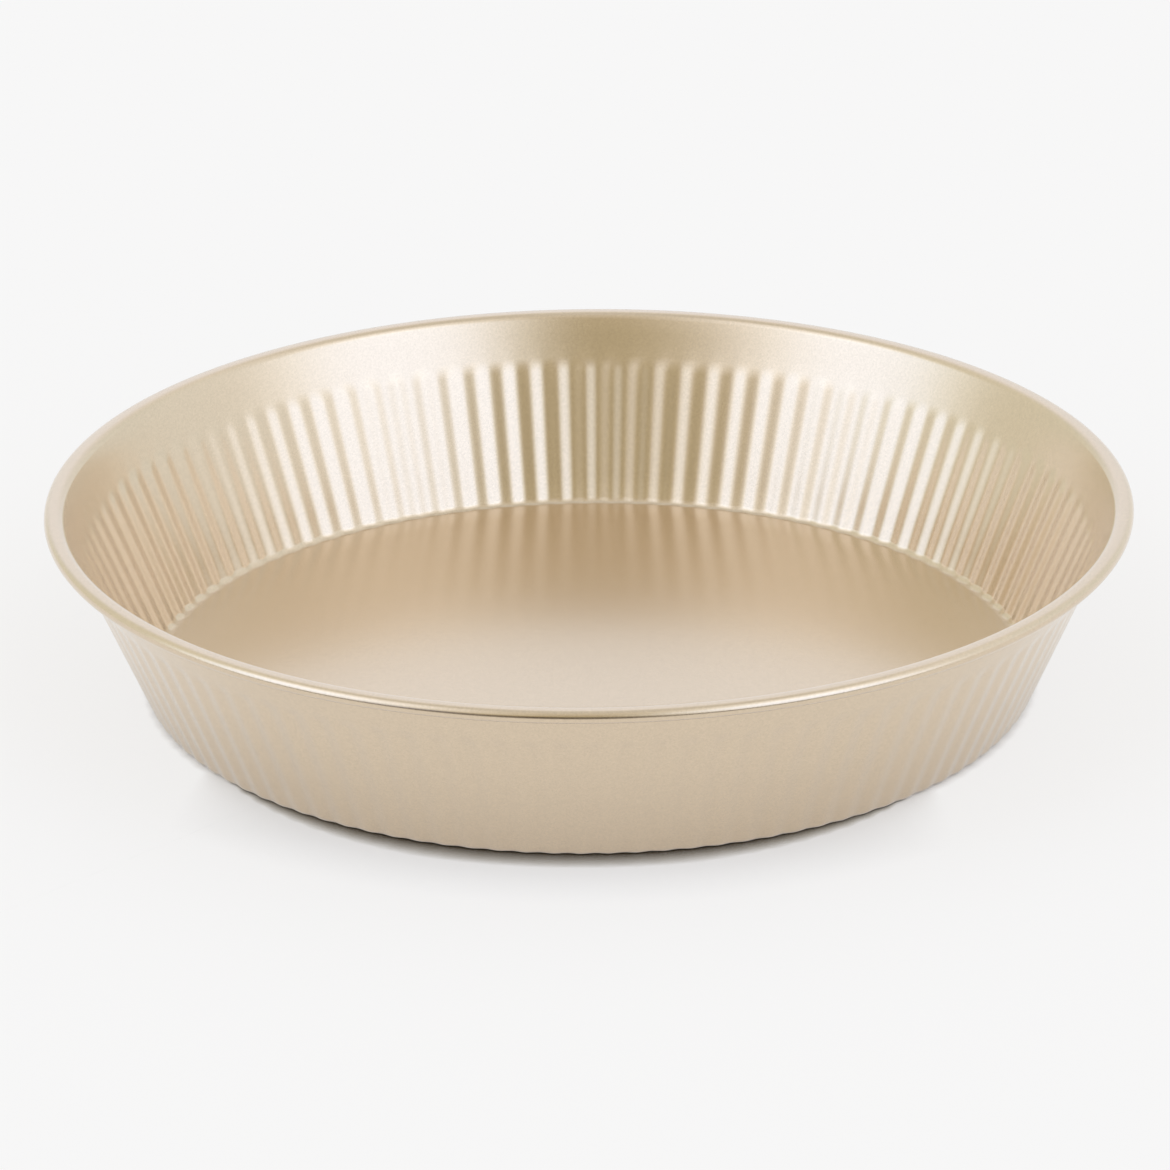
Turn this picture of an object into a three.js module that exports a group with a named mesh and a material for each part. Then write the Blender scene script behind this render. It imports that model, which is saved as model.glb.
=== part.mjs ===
// Quiche pan with a loose base: a fluted ring pressed from coated sheet steel, and a flat round plate that
// lies on the ring's inward ledge and lifts out. Millimetres, +Z up. The origin is on the pan's axis, at the
// surface that the pan stands on.

import * as THREE from 'three';

// Ring: overall sizes
const rimDiameter = 280; // over the rolled edge
const panHeight = 49; // from the table to the top of the rim
const footDiameter = 230; // outside of the wall, carried straight down to the table
const sheetThickness = 0.6; // steel with its coating

// Ring: rim
const rimFlat = 1.35; // width of the flat on top, between the rim's bend and its rolled edge
const rimBendRadius = 2.5; // rounding between the wall's inside and the flat of the rim
const rollRadius = 1.65; // outside of the rolled edge
const rollTurn = THREE.MathUtils.degToRad(225); // how far the edge is rolled over

// Ring: foot and ledge
const footBendRadius = 3; // outside of the bend between the wall and the ledge
const ledgeWidth = 10; // flat of the ledge that carries the base

// Flutes, pressed inward from the plain wall, and on through the foot bend to the ledge
const fluteCount = 106;
const fluteDepth = 0.45;
const plainBand = 10.5; // plain height between the flutes and the top of the rim
const fluteFade = 4.5; // height over which a flute runs out below the plain band

// Loose base
const baseThickness = 0.6;
const baseClearance = 0.3; // all round, from the base's edge to where a flute's foot bend starts

// Steps that the round shapes are drawn with
const footBendSteps = 2;
const rimBendSteps = 2;
const rollSteps = 5;
const baseSteps = 2 * fluteCount;

// The four corners of one flute: the crest stays on the plain wall, the groove goes in by the full depth
const fluteCorners = [0, 1, 1, 0];

const coating = { color: '#dcc9ae', roughness: 0.28, metalness: 1 };

// Sizes that follow
const rimRadius = rimDiameter / 2;
const footRadius = footDiameter / 2;
const rollCentre = rimRadius - rollRadius;
const rimBendCentre = rollCentre - rimFlat;
const rimBendHeight = panHeight - rimBendRadius;
const underRimRadius = rimBendRadius - sheetThickness;

// The wall's outer skin runs from the foot and touches the underside of the rim's bend.
const wallRun = rimBendCentre - footRadius;
const wallReach = Math.hypot(wallRun, rimBendHeight);
const wallLean = Math.atan2(wallRun, rimBendHeight) - Math.asin(underRimRadius / wallReach);
const bendTurn = Math.PI / 2 - wallLean;
const ledgeOuterRadius = footRadius - footBendRadius * Math.tan(bendTurn / 2);
const ledgeInnerRadius = ledgeOuterRadius - ledgeWidth;
const innerFootRadius = footBendRadius - sheetThickness;
const baseRadius = ledgeOuterRadius - fluteDepth - baseClearance;
const fluteEnd = panHeight - plainBand;
const fluteFull = fluteEnd - fluteFade;

// A corner of the ring's section; flute is the share of the full flute depth that it takes.
function corner(radius, height, flute = 0) {
  return { radius, height, flute };
}

// Corners along a round bend of the section, which all take the same share of the flutes.
function bend(centreRadius, centreHeight, bendRadius, from, to, steps, flute = 0) {
  return Array.from({ length: steps + 1 }, (_, step) => {
    const angle = THREE.MathUtils.lerp(from, to, step / steps);
    const radius = centreRadius + bendRadius * Math.cos(angle);
    const height = centreHeight + bendRadius * Math.sin(angle);
    return corner(radius, height, flute);
  });
}

// Corner on the wall at a height, on the outer skin or set in by the sheet's thickness.
function onWall(height, thickness, flute) {
  return corner(footRadius + height * Math.tan(wallLean) - thickness / Math.cos(wallLean), height, flute);
}

// Closed section of the ring: up the outer skin, round the end of the roll, and down the inner skin.
function ringSection() {
  const down = -Math.PI / 2;
  const up = Math.PI / 2;
  const rollEnd = up - rollTurn;
  const rollHeight = panHeight - rollRadius;
  const innerRoll = rollRadius - sheetThickness;
  return [
    corner(ledgeInnerRadius, 0),
    ...bend(ledgeOuterRadius, footBendRadius, footBendRadius, down, -wallLean, footBendSteps, 1),
    onWall(fluteFull, 0, 1),
    onWall(fluteEnd, 0, 0),
    ...bend(rimBendCentre, rimBendHeight, underRimRadius, Math.PI - wallLean, up, rimBendSteps),
    ...bend(rollCentre, rollHeight, innerRoll, up, rollEnd, rollSteps),
    ...bend(rollCentre, rollHeight, rollRadius, rollEnd, up, rollSteps),
    ...bend(rimBendCentre, rimBendHeight, rimBendRadius, up, Math.PI - wallLean, rimBendSteps),
    onWall(fluteEnd, sheetThickness, 0),
    onWall(fluteFull, sheetThickness, 1),
    ...bend(ledgeOuterRadius, footBendRadius, innerFootRadius, -wallLean, down, footBendSteps, 1),
    corner(ledgeInnerRadius, sheetThickness),
  ];
}

// One corner carried round the axis. A fluted ring of points takes each flute's corners, and a plain one
// takes a single point at the middle of each crest.
function ringOfPoints(sectionCorner, positions) {
  const pattern = sectionCorner.flute > 0 ? fluteCorners : [0];
  const count = fluteCount * pattern.length;
  const offset = pattern.length > 1 ? 0.5 : 0;
  const first = positions.length / 3;
  for (let i = 0; i < count; i += 1) {
    const angle = (2 * Math.PI * (i + offset)) / count;
    const radius = sectionCorner.radius - fluteDepth * sectionCorner.flute * pattern[i % pattern.length];
    positions.push(radius * Math.cos(angle), radius * Math.sin(angle), sectionCorner.height);
  }
  return {
    count,
    turn: (i) => (i + offset) / count,
    index: (i) => first + (i % count),
  };
}

// Joins two rings of points with triangles, stepping each time along the one that lags in angle.
function stitch(lower, upper, indices) {
  let a = 0;
  let b = 0;
  while (a < lower.count || b < upper.count) {
    const lowerLags = a < lower.count && lower.turn(a + 1) <= upper.turn(b + 1);
    if (lowerLags || b === upper.count) {
      indices.push(lower.index(a), lower.index(a + 1), upper.index(b));
      a += 1;
    } else {
      indices.push(lower.index(a), upper.index(b + 1), upper.index(b));
      b += 1;
    }
  }
}

function flutedRing() {
  const positions = [];
  const indices = [];
  const rings = ringSection().map((sectionCorner) => ringOfPoints(sectionCorner, positions));
  rings.forEach((ring, i) => stitch(ring, rings[(i + 1) % rings.length], indices));
  const geometry = new THREE.BufferGeometry();
  geometry.setAttribute('position', new THREE.Float32BufferAttribute(positions, 3));
  geometry.setIndex(indices);
  geometry.computeVertexNormals();
  return geometry;
}

// Flat plate, turned about the axis from its half section.
function looseBase() {
  const halfSection = [
    new THREE.Vector2(0, 0),
    new THREE.Vector2(baseRadius, 0),
    new THREE.Vector2(baseRadius, baseThickness),
    new THREE.Vector2(0, baseThickness),
  ];
  const geometry = new THREE.LatheGeometry(halfSection, baseSteps);
  geometry.rotateX(Math.PI / 2);
  return geometry;
}

function piece(name, geometry) {
  const mesh = new THREE.Mesh(geometry, new THREE.MeshStandardMaterial(coating));
  mesh.name = name;
  return mesh;
}

const pan = new THREE.Group();
pan.name = 'quiche_pan';

pan.add(piece('fluted_ring', flutedRing()));

const base = piece('loose_base', looseBase());
base.position.z = sheetThickness; // on top of the ledge
pan.add(base);

export default pan;
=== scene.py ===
"""Quiche pan with a loose base: champagne-gold coated steel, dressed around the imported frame."""

from math import asin, atan2, cos, hypot, pi, radians, sin, tan

import bpy
import numpy as np
from bpy.props import FloatProperty, FloatVectorProperty, IntProperty, PointerProperty
from mathutils import Matrix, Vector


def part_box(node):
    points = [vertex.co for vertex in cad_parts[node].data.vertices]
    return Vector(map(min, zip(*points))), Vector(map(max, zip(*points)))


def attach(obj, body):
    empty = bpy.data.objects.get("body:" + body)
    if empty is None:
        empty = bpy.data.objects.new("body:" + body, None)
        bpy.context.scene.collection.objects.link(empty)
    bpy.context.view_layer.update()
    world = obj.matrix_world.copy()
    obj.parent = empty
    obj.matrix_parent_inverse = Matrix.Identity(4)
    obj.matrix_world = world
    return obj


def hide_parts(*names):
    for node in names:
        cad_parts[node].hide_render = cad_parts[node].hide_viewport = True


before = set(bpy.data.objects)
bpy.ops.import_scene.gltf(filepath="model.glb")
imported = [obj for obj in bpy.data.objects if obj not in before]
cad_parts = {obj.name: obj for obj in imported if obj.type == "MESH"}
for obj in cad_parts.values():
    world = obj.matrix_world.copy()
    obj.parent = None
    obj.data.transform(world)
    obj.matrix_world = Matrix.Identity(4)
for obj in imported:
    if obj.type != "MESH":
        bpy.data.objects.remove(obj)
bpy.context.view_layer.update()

bl_info = {
    "name": "Quiche pan",
    "version": (1, 0, 0),
    "blender": (4, 5, 0),
    "location": "View3D > Sidebar > Quiche pan",
    "description": "Builds a fluted quiche pan with a loose base, and the studio that it stands in",
    "category": "Object",
}

MM = 0.001

# Points along a skin of the ring: foot bend, wall, end of the flutes, plain band, rim bend and roll
OUTER_POINTS = (6, 4, 6, 2, 4, 6)
INNER_POINTS = (9, 6, 9, 2, 9, 13)
RAW_EDGE_POINTS = 7  # round a raw edge of the sheet

# Share of a third wave in a flute: the most that leaves its sides straight and doesn't bow them in
STRAIGHTENING = 1 / 27

# Coating
FLECK_TONES = (0.95, 1.05)  # darkest and palest fleck, as shares of the pigment's colour
PEEL_WIDTH = 2 * MM  # across one wave of the orange peel
PEEL_DETAIL = 2.0  # how many layers of finer waves it has
PEEL_HEIGHT = 0.02 * MM
PEEL_STRENGTH = 0.008
COAT_ROUGHNESS = 0.18  # of the clear binder over the flecks

# Studio floor. Places on it are distances from the pan's axis, out in one direction on the camera's side.
FLOOR_AZIMUTH = -5  # of that direction, in degrees to the right
# The dark line under the foot is a painted contact shadow
CONTACT_FRONT = 117 * MM  # where the dark line under the foot is widest
CONTACT_SIDES = 76 * MM  # where it has thinned out
CONTACT_FADE = (74 * MM, 108 * MM)  # from where to where it deepens
# The soft shade around the line is painted, by fading the floor's glow, over the paper's real shadow
SHADE_FRONT = 104 * MM  # where the soft shade around the line is widest
SHADE_SIDES = 72 * MM  # where it is narrowest, as the camera sees it
DARK_FLOOR = (264 * MM, 344 * MM)  # from where to where the floor turns dark in mirrors
DARK_FLOOR_TONE = 0.42  # square root of the share of red that it keeps there
# Differing powers turn the painted contact shadow and the dark floor in mirrors warm, like shade lit by
# light bounced off the gold
SHADE_POWERS = (2.0, 2.2, 2.54)  # how steeply red, green and blue fall in the line and the dark floor
AO_SAMPLES = 3  # rays that look for the pan from a point of the floor

# Soft patches of the room: degrees to the right of the camera's side, degrees above the floor, angle
# within which a patch is full, angle beyond which it is gone, and the red, green and blue that it adds.
ROOM_PATCHES = (
    (-68, 22, 8, 36, (0.37, 0.48, 0.66)),  # light on the left
    (-68, 22, 6, 24, (0.00, 0.08, 0.32)),  # its whiter middle
    (-66, 50, 6, 27, (0.22, 0.28, 0.40)),  # its top
    (45.5, 20, 8, 40, (0.37, 0.48, 0.67)),  # light on the right
    (45.5, 20, 6, 28, (0.00, 0.08, 0.32)),  # its whiter middle
    (50, 52, 6, 27, (0.24, 0.30, 0.42)),  # its top
    (-4.5, 12, 6, 34, (-0.43, -0.49, -0.67)),  # dark, warm side behind the camera
    (-2, 3, 5, 22, (-0.42, -0.38, -0.22)),  # the same side, darkest along the floor
    (-20, 4, 5, 17, (-0.18, -0.17, -0.12)),  # and on along the floor to the left
    (-36, 4, 5, 17, (-0.45, -0.42, -0.30)),  # up to the light there
    (0, 44, 4, 18, (-0.13, -0.14, -0.16)),  # the same side, higher up
    (2, 58, 5, 30, (-0.26, -0.30, -0.40)),  # and up to the ceiling
    (-120, 20, 15, 50, (-0.16, -0.15, -0.23)),  # wall on the left, beyond the light
    (112, 20, 10, 45, (-0.05, -0.01, 0.02)),  # wall on the right, beyond the light
    (140, 20, 10, 38, (-0.07, -0.07, -0.10)),  # and further round
    (180, 24, 10, 40, (-0.04, -0.02, 0.04)),  # wall behind the pan
    (180, 40, 8, 30, (0.04, 0.04, 0.05)),  # the same wall, higher up
    (180, 78, 8, 36, (-0.24, -0.24, -0.26)),  # ceiling
)

RING_LOW, RING_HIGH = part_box("fluted_ring")
BASE_LOW, BASE_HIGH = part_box("loose_base")


def linear(hex_colour):
    """Linear red, green and blue of an sRGB hex colour such as #c9b28c."""
    srgb = np.array([int(hex_colour[i:i + 2], 16) for i in (1, 3, 5)]) / 255
    return tuple(np.where(srgb <= 0.04045, srgb / 12.92, ((srgb + 0.055) / 1.055) ** 2.4))


def length(name, description, default):
    """A size in metres that the sidebar shows to a hundredth of a millimetre."""
    return FloatProperty(
        name=name, description=description, default=default, min=0, unit="LENGTH", precision=5
    )


class PanSizes(bpy.types.PropertyGroup):
    """Sizes of the ring and its loose base."""

    # The solid is a little narrower along Y than along X, and the round ring stays inside both.
    rim_diameter: length("Rim diameter", "Over the rolled edge", RING_HIGH.y - RING_LOW.y)
    height: length("Height", "From the table to the top of the rim", RING_HIGH.z)
    foot_diameter: length("Foot diameter", "Outside of the wall, carried down to the table", 230 * MM)
    # The base lies on the ledge, one sheet above the table.
    sheet: length("Sheet", "Thickness of the coated steel", BASE_LOW.z)
    rim_flat: length("Rim flat", "Flat on top, between the rim's bend and its roll", 1.35 * MM)
    rim_bend: length("Rim bend", "Radius between the wall's inside and the rim's flat", 2.5 * MM)
    roll_radius: length("Roll radius", "Outside of the rolled edge", 1.65 * MM)
    roll_turn: FloatProperty(
        name="Roll turn", description="How far the edge is rolled over",
        default=radians(225), subtype="ANGLE",
    )
    foot_bend: length("Foot bend", "Outer radius between the wall and the ledge", 3 * MM)
    ledge: length("Ledge", "Flat of the ledge that carries the base", 10 * MM)
    flute_count: IntProperty(name="Flutes", description="Number of flutes", default=106, min=3)
    flute_depth: length("Flute depth", "How far a flute is pressed in", 0.45 * MM)
    plain_band: length("Plain band", "Height between the flutes and the rim's top", 10.5 * MM)
    flute_fade: length("Flute fade", "Height over which a flute runs out", 4.5 * MM)
    base_diameter: length("Base diameter", "Across the loose base", BASE_HIGH.x - BASE_LOW.x)
    base_thickness: length("Base thickness", "Thickness of the loose base", BASE_HIGH.z - BASE_LOW.z)


class PanFinish(bpy.types.PropertyGroup):
    """Colour and grain of the coating."""

    colour: FloatVectorProperty(
        name="Coating", description="Champagne-gold pigment",
        default=linear("#dcc9ae"), subtype="COLOR", min=0, max=1,
    )
    roughness: FloatProperty(
        name="Roughness", description="Of the satin coating", default=0.25, min=0, max=1
    )
    flake: length("Flake", "Width of a fleck of pigment, drawn coarse enough to show", 0.45 * MM)


class StudioLook(bpy.types.PropertyGroup):
    """Camera, floor and room."""

    lens: FloatProperty(name="Lens", description="Focal length in millimetres", default=185.1, min=1)
    camera_place: FloatVectorProperty(
        name="Camera", description="Where the camera stands",
        default=(-0.0101, -1.4387, 0.6234), subtype="TRANSLATION",
    )
    camera_pitch: FloatProperty(
        name="Pitch", description="Below the horizon", default=radians(22.636), subtype="ANGLE"
    )
    camera_yaw: FloatProperty(
        name="Yaw", description="To the right", default=radians(0.356), subtype="ANGLE"
    )
    camera_roll: FloatProperty(
        name="Roll", description="Anticlockwise", default=radians(-0.55), subtype="ANGLE"
    )
    floor_colour: FloatVectorProperty(
        name="Floor", description="Pale studio floor",
        default=linear("#f8f7f6"), subtype="COLOR", min=0, max=1,
    )
    floor_glow: FloatProperty(
        name="Floor glow", description="Share of the floor's light that comes from below",
        default=0.8, min=0, max=1,
    )
    # Reaches of the painted shade that fades the floor's glow close to the pan
    shade_front: length("Shade at the front", "How far the pan shuts out the floor's own light", 25 * MM)
    shade_sides: length("Shade at the sides", "The same beside the pan, as the camera sees it", 2 * MM)
    # Reaches of the painted contact shadow under the foot
    contact_front: length(
        "Contact at the front", "Reach of the dark line under the front of the foot", 6.5 * MM
    )
    contact_sides: length(
        "Contact at the sides", "Reach of the dark line under the rest of the foot", 0.15 * MM
    )
    room_level: FloatProperty(
        name="Room", description="Plain brightness of the room", default=1.0, min=0
    )


def arc(centre, radius, start, end, count):
    """Points on a circle about the centre, evenly from one angle to another."""
    angle = np.linspace(start, end, count)
    return np.stack([centre[0] + radius * np.cos(angle), centre[1] + radius * np.sin(angle)], axis=1)


def line(start, end, count):
    """Points evenly along a straight line, without its two ends."""
    share = np.linspace(0, 1, count + 2)[1:-1, None]
    return np.array(start) + share * (np.array(end) - np.array(start))


def ease(share):
    """Smooth step from 0 to 1: three times the square less twice the cube."""
    share = np.clip(share, 0, 1)
    return share * share * (3 - 2 * share)


def unfluted(points):
    """Section points with no share of the flutes."""
    return np.column_stack([points, np.zeros(len(points))])


def wall_lean(sizes):
    """Angle of the wall from the upright.

    The outer skin runs straight from the foot and touches the underside of the rim's bend: the angle up to
    the bend's centre, less the angle that the bend's inner radius takes up at that distance.
    """
    run = sizes.rim_diameter / 2 - sizes.roll_radius - sizes.rim_flat - sizes.foot_diameter / 2
    rise = sizes.height - sizes.rim_bend
    return atan2(run, rise) - asin((sizes.rim_bend - sizes.sheet) / hypot(run, rise))


def ring_section(sizes):
    """Closed section of the ring, as rows of radius, height and share of the flute depth.

    It goes up the outer skin, round the raw edge of the roll, and down the inner skin to the raw edge of
    the ledge. The flutes are full from the ledge through the foot bend, and ease out below the plain band.
    """
    lean = wall_lean(sizes)
    half_sheet = sizes.sheet / 2
    foot_radius = sizes.foot_diameter / 2
    roll_end = pi / 2 - sizes.roll_turn
    foot = (foot_radius - sizes.foot_bend * tan((pi / 2 - lean) / 2), sizes.foot_bend)
    roll = (sizes.rim_diameter / 2 - sizes.roll_radius, sizes.height - sizes.roll_radius)
    rim = (roll[0] - sizes.rim_flat, sizes.height - sizes.rim_bend)
    fade_top = sizes.height - sizes.plain_band
    fade_low = fade_top - sizes.flute_fade

    def skin(inset, foot_points, wall_points, fade_points, plain_points, rim_points, roll_points):
        """One skin from the ledge to the roll's end, set in from the outer skin."""
        def on_wall(height):
            return (foot_radius + height * tan(lean) - inset / cos(lean), height)

        fluted = np.concatenate([
            arc(foot, sizes.foot_bend - inset, -pi / 2, -lean, foot_points),
            line(on_wall(sizes.foot_bend), on_wall(fade_low), wall_points),
            line(on_wall(fade_low), on_wall(fade_top), fade_points),
        ])
        plain = np.concatenate([
            line(on_wall(fade_top), on_wall(rim[1]), plain_points),
            arc(rim, sizes.rim_bend - sizes.sheet + inset, pi - lean, pi / 2, rim_points),
            arc(roll, sizes.roll_radius - sizes.sheet + inset, pi / 2, roll_end, roll_points),
        ])
        share = ease((fade_top - fluted[:, 1]) / sizes.flute_fade)
        return np.concatenate([np.column_stack([fluted, share]), unfluted(plain)])

    outer = skin(0, *OUTER_POINTS)
    inner = skin(sizes.sheet, *INNER_POINTS)
    middle = sizes.roll_radius - half_sheet
    roll_tip = (roll[0] + middle * cos(roll_end), roll[1] + middle * sin(roll_end))
    ledge_tip = (foot[0] - sizes.ledge + half_sheet, half_sheet)
    roll_edge = arc(roll_tip, half_sheet, roll_end + pi, roll_end, RAW_EDGE_POINTS)[1:-1]
    ledge_edge = arc(ledge_tip, half_sheet, pi / 2, 3 * pi / 2, RAW_EDGE_POINTS)
    return np.concatenate([outer, unfluted(roll_edge), inner[::-1], unfluted(ledge_edge)])


def closed_grid(rows, columns):
    """Quads of a grid that closes on itself both ways, counted row by row."""
    row, column = np.meshgrid(np.arange(rows), np.arange(columns), indexing="ij")
    next_row = (row + 1) % rows
    next_column = (column + 1) % columns
    corners = (row, column), (row, next_column), (next_row, next_column), (next_row, column)
    return np.stack([r * columns + c for r, c in corners], axis=-1).reshape(-1, 4)


def make_piece(name, points, faces, material, body, node):
    """Puts a surface into a smooth mesh that rides on a body and stands for a CAD node."""
    corners = np.concatenate([part.ravel() for part in faces])
    totals = np.concatenate([np.full(len(part), part.shape[1]) for part in faces])
    mesh = bpy.data.meshes.new(name)
    mesh.vertices.add(len(points))
    mesh.vertices.foreach_set("co", points.astype(np.float32).ravel())
    mesh.loops.add(len(corners))
    mesh.loops.foreach_set("vertex_index", corners.astype(np.int32))
    mesh.polygons.add(len(totals))
    mesh.polygons.foreach_set("loop_start", (np.cumsum(totals) - totals).astype(np.int32))
    mesh.polygons.foreach_set("use_smooth", np.ones(len(totals), bool))
    mesh.update(calc_edges=True)
    mesh.materials.append(material)
    piece = bpy.data.objects.new(name, mesh)
    bpy.context.scene.collection.objects.link(piece)
    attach(piece, body)
    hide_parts(node)


def add_node(tree, kind, inputs=None, **settings):
    """Adds a node with its settings, and sets or links each input."""
    node = tree.nodes.new(kind)
    for name, value in settings.items():
        setattr(node, name, value)
    for key, value in (inputs or {}).items():
        if isinstance(value, bpy.types.NodeSocket):
            tree.links.new(value, node.inputs[key])
        else:
            node.inputs[key].default_value = value
    return node


def nonstick_coating(finish):
    """Champagne-gold non-stick coating, sprayed over pressed steel and baked.

    Metallic flecks under a clear satin binder give a soft mirror with a fine sparkle, and the sprayed film
    has a very slight orange peel. Real flecks are too fine to show, so they are drawn coarser.
    """
    name = "Champagne non-stick coating, sprayed and baked"
    if name in bpy.data.materials:
        return bpy.data.materials[name]
    material = bpy.data.materials.new(name)
    material.use_nodes = True
    tree = material.node_tree
    tree.nodes.clear()
    place = add_node(tree, "ShaderNodeTexCoord").outputs["Object"]
    flecks = add_node(tree, "ShaderNodeTexVoronoi", {"Vector": place, "Scale": 1 / finish.flake})
    fleck_tone = add_node(tree, "ShaderNodeMapRange", {
        "Value": flecks.outputs["Color"],
        "To Min": FLECK_TONES[0],
        "To Max": FLECK_TONES[1],
    })
    # Inputs 0, 6 and 7 of a colour Mix are its factor and its two colours, and output 2 is the result.
    colour = add_node(
        tree, "ShaderNodeMix", {0: 1.0, 6: (*finish.colour, 1), 7: fleck_tone.outputs["Result"]},
        data_type="RGBA", blend_type="MULTIPLY",
    )
    peel = add_node(
        tree, "ShaderNodeTexNoise", {"Vector": place, "Scale": 1 / PEEL_WIDTH, "Detail": PEEL_DETAIL}
    )
    bump = add_node(tree, "ShaderNodeBump", {
        "Height": peel.outputs["Fac"],
        "Strength": PEEL_STRENGTH,
        "Distance": PEEL_HEIGHT,
    })
    shader = add_node(tree, "ShaderNodeBsdfPrincipled", {
        "Base Color": colour.outputs[2],
        "Metallic": 1.0,
        "Roughness": finish.roughness,
        "Coat Weight": 1.0,
        "Coat Roughness": COAT_ROUGHNESS,
        "Normal": bump.outputs["Normal"],
    })
    add_node(tree, "ShaderNodeOutputMaterial", {"Surface": shader.outputs["BSDF"]})
    return material


class PAN_OT_fluted_ring(bpy.types.Operator):
    """Builds the fluted ring: its section carried round the axis, and pressed in by the flutes.

    A flute is a cosine wave of the angle, with a small third wave that straightens its sides.
    """

    bl_idname = "quiche_pan.fluted_ring"
    bl_label = "Fluted ring"

    steps_per_flute = 10

    def execute(self, context):
        sizes = context.scene.pan_sizes
        section = ring_section(sizes)
        columns = sizes.flute_count * self.steps_per_flute
        turn = np.linspace(0, 2 * pi, columns, endpoint=False)
        wave = sizes.flute_count * turn
        groove = (1 - (np.cos(wave) + STRAIGHTENING * np.cos(3 * wave)) / (1 + STRAIGHTENING)) / 2
        radius = section[:, :1] - sizes.flute_depth * np.outer(section[:, 2], groove)
        height = np.broadcast_to(section[:, 1:2], radius.shape)
        points = np.stack([radius * np.cos(turn), radius * np.sin(turn), height], axis=-1).reshape(-1, 3)
        faces = [closed_grid(len(section), columns)]
        coating = nonstick_coating(context.scene.pan_finish)
        make_piece("pan_ring", points, faces, coating, "ring", "fluted_ring")
        return {"FINISHED"}


class PAN_OT_loose_base(bpy.types.Operator):
    """Builds the loose base: a half section with a rounded edge turned about the axis"""

    bl_idname = "quiche_pan.loose_base"
    bl_label = "Loose base"

    columns = 360
    rings = 12
    edge_points = 9

    def execute(self, context):
        sizes = context.scene.pan_sizes
        half = sizes.base_thickness / 2
        low = BASE_LOW.z
        flat_end = sizes.base_diameter / 2 - half
        edge = arc((flat_end, low + half), half, -pi / 2, pi / 2, self.edge_points)
        under = line((0, low), edge[0], self.rings)
        over = line(edge[-1], (0, low + sizes.base_thickness), self.rings)
        section = np.concatenate([under, edge, over])
        turn = np.linspace(0, 2 * pi, self.columns, endpoint=False)
        radius = section[:, :1] * np.ones(self.columns)
        height = np.broadcast_to(section[:, 1:], radius.shape)
        turned = np.stack([radius * np.cos(turn), radius * np.sin(turn), height], axis=-1).reshape(-1, 3)
        poles = [(0, 0, low), (0, 0, low + sizes.base_thickness)]
        points = np.concatenate([turned, poles])
        last_row = (len(section) - 1) * self.columns
        quads = closed_grid(len(section), self.columns)[:last_row]
        column = np.arange(self.columns)
        next_column = (column + 1) % self.columns
        low_pole = np.full_like(column, len(turned))
        high_pole = low_pole + 1
        under_fan = np.stack([low_pole, next_column, column], axis=1)
        over_fan = np.stack([last_row + column, last_row + next_column, high_pole], axis=1)
        faces = [quads, under_fan, over_fan]
        coating = nonstick_coating(context.scene.pan_finish)
        make_piece("pan_base", points, faces, coating, "base", "loose_base")
        return {"FINISHED"}


def toward(azimuth, elevation):
    """Direction from the pan, by degrees to the right of the camera's side and degrees above the floor."""
    flat = cos(radians(elevation))
    return (flat * sin(radians(azimuth)), -flat * cos(radians(azimuth)), sin(radians(elevation)))


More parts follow.
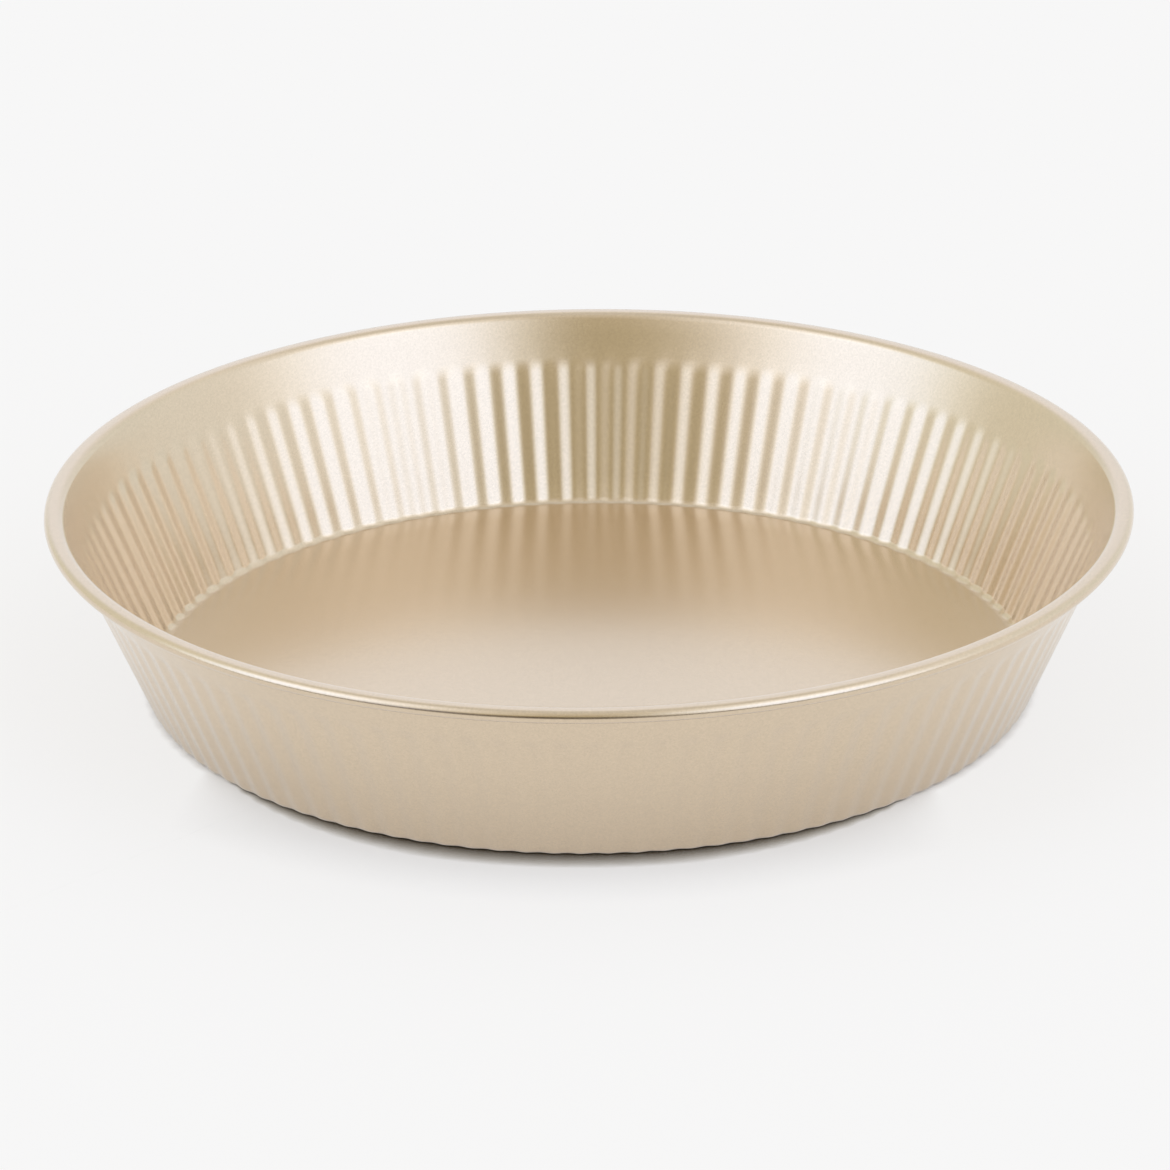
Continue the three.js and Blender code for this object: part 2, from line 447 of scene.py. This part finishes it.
def floor_paper(look):
    """Matt white studio paper, lit from below as well as from above, so that a wide shadow stays pale.

    Close to the pan its glow fades as painted shade, further at the front than at the sides, and the real
    shadow on the matt paper shows through. Where the pan stands, a painted contact shadow darkens the
    paper in a thin line, which is widest under the front of the foot. In mirrors alone the paper also
    turns dark further out on the camera's side, as a dark card lying there would make it. That draws the
    thin dark line along the front of the rolled edge.
    """
    material = bpy.data.materials.new("White studio paper, matt")
    material.use_nodes = True
    tree = material.node_tree
    tree.nodes.clear()
    path = add_node(tree, "ShaderNodeLightPath")
    mirrored = add_node(
        tree, "ShaderNodeMath",
        {0: path.outputs["Is Glossy Ray"], 1: path.outputs["Is Transmission Ray"]}, operation="MAXIMUM",
    )
    seen = add_node(
        tree, "ShaderNodeMath",
        {0: path.outputs["Is Camera Ray"], 1: mirrored.outputs["Value"]}, operation="MAXIMUM",
    )
    place = add_node(tree, "ShaderNodeTexCoord").outputs["Object"]
    way_out = add_node(
        tree, "ShaderNodeVectorMath", {0: place, 1: toward(FLOOR_AZIMUTH, 0)}, operation="DOT_PRODUCT"
    )

    # Painted contact shadow: a dark line under the foot, for the camera alone
    contact_reach = add_node(tree, "ShaderNodeMapRange", {
        "Value": way_out.outputs["Value"],
        "From Min": CONTACT_SIDES,
        "From Max": CONTACT_FRONT,
        "To Min": look.contact_sides,
        "To Max": look.contact_front,
    })
    contact = add_node(
        tree, "ShaderNodeAmbientOcclusion",
        {"Distance": contact_reach.outputs["Result"]}, samples=AO_SAMPLES,
    )
    contact_depth = add_node(tree, "ShaderNodeMapRange", {
        "Value": way_out.outputs["Value"],
        "From Min": CONTACT_FADE[0],
        "From Max": CONTACT_FADE[1],
        "To Max": path.outputs["Is Camera Ray"],
    })
    contact_powers = add_node(
        tree, "ShaderNodeVectorMath",
        {0: SHADE_POWERS, "Scale": contact_depth.outputs["Result"]}, operation="SCALE",
    )
    painted_contact_shadow = add_node(
        tree, "ShaderNodeVectorMath",
        {0: contact.outputs["AO"], 1: contact_powers.outputs["Vector"]}, operation="POWER",
    )

    # Dark floor further out, for mirrors alone
    dark = add_node(tree, "ShaderNodeMapRange", {
        "Value": way_out.outputs["Value"],
        "From Min": DARK_FLOOR[0],
        "From Max": DARK_FLOOR[1],
        "To Min": 1.0,
        "To Max": DARK_FLOOR_TONE,
    })
    dark_powers = add_node(
        tree, "ShaderNodeVectorMath",
        {0: SHADE_POWERS, "Scale": mirrored.outputs["Value"]}, operation="SCALE",
    )
    dark_tone = add_node(
        tree, "ShaderNodeVectorMath",
        {0: dark.outputs["Result"], 1: dark_powers.outputs["Vector"]}, operation="POWER",
    )
    tone = add_node(
        tree, "ShaderNodeVectorMath",
        {0: painted_contact_shadow.outputs["Vector"], 1: dark_tone.outputs["Vector"]}, operation="MULTIPLY",
    )
    colour = add_node(
        tree, "ShaderNodeVectorMath",
        {0: tuple(look.floor_colour), 1: tone.outputs["Vector"]}, operation="MULTIPLY",
    )

    # Glow from below, faded close to the pan as painted shade; the matt paper keeps its real shadow
    sides_reach = add_node(
        tree, "ShaderNodeMath",
        {0: path.outputs["Is Camera Ray"], 1: look.shade_sides - look.shade_front, 2: look.shade_front},
        operation="MULTIPLY_ADD",
    )
    shade_reach = add_node(tree, "ShaderNodeMapRange", {
        "Value": way_out.outputs["Value"],
        "From Min": SHADE_SIDES,
        "From Max": SHADE_FRONT,
        "To Min": sides_reach.outputs["Value"],
        "To Max": look.shade_front,
    })
    open_air = add_node(
        tree, "ShaderNodeAmbientOcclusion",
        {"Distance": shade_reach.outputs["Result"]}, samples=AO_SAMPLES,
    )
    share = add_node(
        tree, "ShaderNodeMath",
        {0: open_air.outputs["AO"], 1: seen.outputs["Value"]}, operation="MULTIPLY",
    )
    from_below = add_node(
        tree, "ShaderNodeMath", {0: share.outputs["Value"], 1: look.floor_glow}, operation="MULTIPLY"
    )
    paper = add_node(tree, "ShaderNodeBsdfDiffuse", {"Color": colour.outputs["Vector"]})
    glow = add_node(tree, "ShaderNodeEmission", {"Color": colour.outputs["Vector"], "Strength": 1.0})
    mix = add_node(
        tree, "ShaderNodeMixShader",
        {0: from_below.outputs["Value"], 1: paper.outputs["BSDF"], 2: glow.outputs["Emission"]},
    )
    add_node(tree, "ShaderNodeOutputMaterial", {"Surface": mix.outputs["Shader"]})
    return material


def studio_room(look):
    """White room with two soft lights in it: each patch adds to, or takes from, one plain level."""
    world = bpy.data.worlds.new("Studio room")
    world.use_nodes = True
    tree = world.node_tree
    tree.nodes.clear()
    way = add_node(tree, "ShaderNodeTexCoord").outputs["Generated"]
    level = (look.room_level,) * 3
    for azimuth, elevation, full_within, gone_beyond, added in ROOM_PATCHES:
        near = add_node(
            tree, "ShaderNodeVectorMath",
            {0: way, 1: toward(azimuth, elevation)}, operation="DOT_PRODUCT",
        )
        patch = add_node(tree, "ShaderNodeMapRange", {
            "Value": near.outputs["Value"],
            "From Min": cos(radians(gone_beyond)),
            "From Max": cos(radians(full_within)),
        }, interpolation_type="SMOOTHSTEP")
        level = add_node(
            tree, "ShaderNodeVectorMath",
            {0: patch.outputs["Result"], 1: added, 2: level}, operation="MULTIPLY_ADD",
        ).outputs["Vector"]
    background = add_node(tree, "ShaderNodeBackground", {"Color": level, "Strength": 1.0})
    add_node(tree, "ShaderNodeOutputWorld", {"Surface": background.outputs["Background"]})
    return world


class PAN_OT_stage(bpy.types.Operator):
    """Builds the floor, the room that lights the pan, and the camera"""

    bl_idname = "quiche_pan.stage"
    bl_label = "Studio"

    floor_reach = 12.0  # metres from the pan to each side of the floor
    sensor_width = 36  # millimetres

    def execute(self, context):
        look = context.scene.pan_studio
        reach = self.floor_reach
        corners = [(-reach, -reach, 0), (reach, -reach, 0), (reach, reach, 0), (-reach, reach, 0)]
        mesh = bpy.data.meshes.new("studio_floor")
        mesh.from_pydata(corners, [], [(0, 1, 2, 3)])
        mesh.materials.append(floor_paper(look))
        floor = bpy.data.objects.new("studio_floor", mesh)
        context.scene.collection.objects.link(floor)
        context.scene.world = studio_room(look)
        camera = bpy.data.cameras.new("camera")
        camera.lens = look.lens
        camera.sensor_width = self.sensor_width
        camera_object = bpy.data.objects.new("camera", camera)
        camera_object.matrix_world = (
            Matrix.Translation(look.camera_place)
            @ Matrix.Rotation(-look.camera_yaw, 4, "Z")
            @ Matrix.Rotation(pi / 2 - look.camera_pitch, 4, "X")
            @ Matrix.Rotation(look.camera_roll, 4, "Z")
        )
        context.scene.collection.objects.link(camera_object)
        context.scene.camera = camera_object
        context.scene.view_settings.view_transform = "Standard"
        return {"FINISHED"}


class PAN_PT_sidebar(bpy.types.Panel):
    """Sizes, finish and studio of the pan"""

    bl_idname = "PAN_PT_sidebar"
    bl_label = "Quiche pan"
    bl_space_type = "VIEW_3D"
    bl_region_type = "UI"
    bl_category = "Quiche pan"

    def draw(self, context):
        for group in (context.scene.pan_sizes, context.scene.pan_finish, context.scene.pan_studio):
            box = self.layout.box()
            for name in group.__annotations__:
                box.prop(group, name)
        for operator in OPERATORS:
            self.layout.operator(operator.bl_idname)


OPERATORS = (PAN_OT_fluted_ring, PAN_OT_loose_base, PAN_OT_stage)
CLASSES = (PanSizes, PanFinish, StudioLook, *OPERATORS, PAN_PT_sidebar)


def register():
    for cls in CLASSES:
        bpy.utils.register_class(cls)
    bpy.types.Scene.pan_sizes = PointerProperty(type=PanSizes)
    bpy.types.Scene.pan_finish = PointerProperty(type=PanFinish)
    bpy.types.Scene.pan_studio = PointerProperty(type=StudioLook)


def unregister():
    del bpy.types.Scene.pan_studio
    del bpy.types.Scene.pan_finish
    del bpy.types.Scene.pan_sizes
    for cls in reversed(CLASSES):
        bpy.utils.unregister_class(cls)


def main():
    """Registers the classes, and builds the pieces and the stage."""
    register()
    bpy.ops.quiche_pan.fluted_ring()
    bpy.ops.quiche_pan.loose_base()
    bpy.ops.quiche_pan.stage()


if __name__ == "__main__":
    main()
